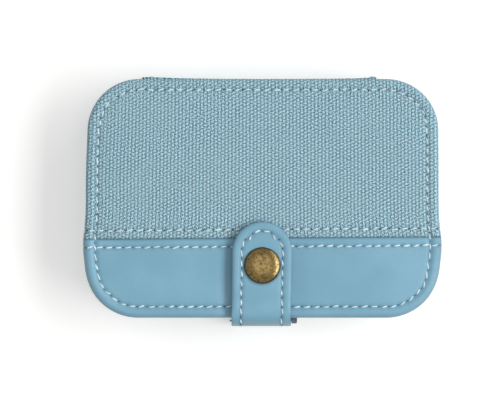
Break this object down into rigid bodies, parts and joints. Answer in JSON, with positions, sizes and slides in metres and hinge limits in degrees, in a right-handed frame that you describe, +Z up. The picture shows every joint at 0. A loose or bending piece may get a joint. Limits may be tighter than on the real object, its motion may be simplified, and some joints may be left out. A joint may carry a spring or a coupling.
{
  "type": "knitting needle case",
  "caption": "Zip-around clamshell case of canvas and leather for knitting needle tips, with padded covers, elastic loops, a slip pocket and a strap that snaps over the front edge",
  "frame": {"origin": "under the middle of the closed case's box, on the surface it lies on", "axes": "+X along the case to the right as seen from the front, +Y towards the hinge, +Z up through the front cover"},
  "size_m": [0.148, 0.1088, 0.0409],
  "materials": {
    "canvas": "pale blue plain-weave canvas",
    "leather": "pale blue grained faux leather",
    "strap_leather": "pale blue grained faux leather",
    "strap_backing": "plain faux leather backing",
    "foam": "soft sheet foam",
    "board": "grey stiffener board",
    "lining": "grey woven lining",
    "gusset_canvas": "pale blue plain-weave canvas",
    "spine_canvas": "pale blue plain-weave canvas",
    "zip_tape": "slate twill tape",
    "zip_teeth": "slate moulded plastic",
    "slider_metal": "slate lacquered metal",
    "antique_brass": "antique brass with dark patina",
    "plain_brass": "plain brass",
    "elastic": "ribbed dark elastic",
    "pocket_mesh": "grey knitted mesh"
  },
  "bodies": {
    "base": {"base_canvas_panel": "canvas", "base_leather_band": "leather", "base_foam_pad": "foam", "base_stiffener_board": "board", "base_lining": "lining", "base_gusset": "gusset_canvas", "base_zip_tape": "zip_tape", "base_zip_teeth": "zip_teeth", "base_spine_leaf": "spine_canvas", "strap_tail": "strap_leather", "needle_loops_left": "elastic", "needle_loops_right": "elastic"},
    "lid": {"lid_canvas_panel": "canvas", "lid_leather_band": "leather", "lid_foam_pad": "foam", "lid_stiffener_board": "board", "lid_lining": "lining", "lid_gusset": "gusset_canvas", "lid_zip_tape": "zip_tape", "lid_zip_teeth": "zip_teeth", "lid_spine_leaf": "spine_canvas", "snap_stud": "plain_brass", "snap_rivet_plate": "plain_brass", "pocket_panel": "pocket_mesh", "pocket_binding": "elastic"},
    "strap_riser": {"strap_riser_outer": "strap_leather", "strap_riser_lining": "strap_backing"},
    "strap_flap": {"strap_flap_outer": "strap_leather", "strap_flap_lining": "strap_backing", "snap_cap": "antique_brass", "snap_socket": "plain_brass"},
    "slider_left": {"zip_slider_left": "slider_metal"},
    "slider_right": {"zip_slider_right": "slider_metal"},
    "pull_left": {"zip_pull_left": "slider_metal"},
    "pull_right": {"zip_pull_right": "slider_metal"}
  },
  "joints": [
    {"name": "lid_hinge", "type": "hinge", "parent": "base", "child": "lid", "pos_m": [0, 0.05445, 0.017], "axis": [-1, 0, 0], "range_deg": [0, 180]},
    {"name": "strap_swing", "type": "hinge", "parent": "base", "child": "strap_riser", "pos_m": [0, -0.0532, 0.0012], "axis": [1, 0, 0], "range_deg": [0, 88]},
    {"name": "strap_peel", "type": "hinge", "parent": "strap_riser", "child": "strap_flap", "pos_m": [0, -0.0532, 0.0378], "axis": [1, 0, 0], "range_deg": [0, 90]},
    {"name": "zip_slide_left", "type": "slide", "parent": "base", "child": "slider_left", "axis": [-1, 0, 0], "range_m": [0, 0.037], "deforming": ["base_zip_teeth", "lid_zip_teeth"]},
    {"name": "pull_swing_left", "type": "hinge", "parent": "slider_left", "child": "pull_left", "pos_m": [-0.0108, -0.05015, 0.017], "axis": [0, 1, 0], "range_deg": [-15, 75]},
    {"name": "zip_slide_right", "type": "slide", "parent": "base", "child": "slider_right", "axis": [1, 0, 0], "range_m": [0, 0.037], "deforming": ["base_zip_teeth", "lid_zip_teeth"]},
    {"name": "pull_swing_right", "type": "hinge", "parent": "slider_right", "child": "pull_right", "pos_m": [0.0108, -0.05015, 0.017], "axis": [0, -1, 0], "range_deg": [-15, 75]}
  ]
}
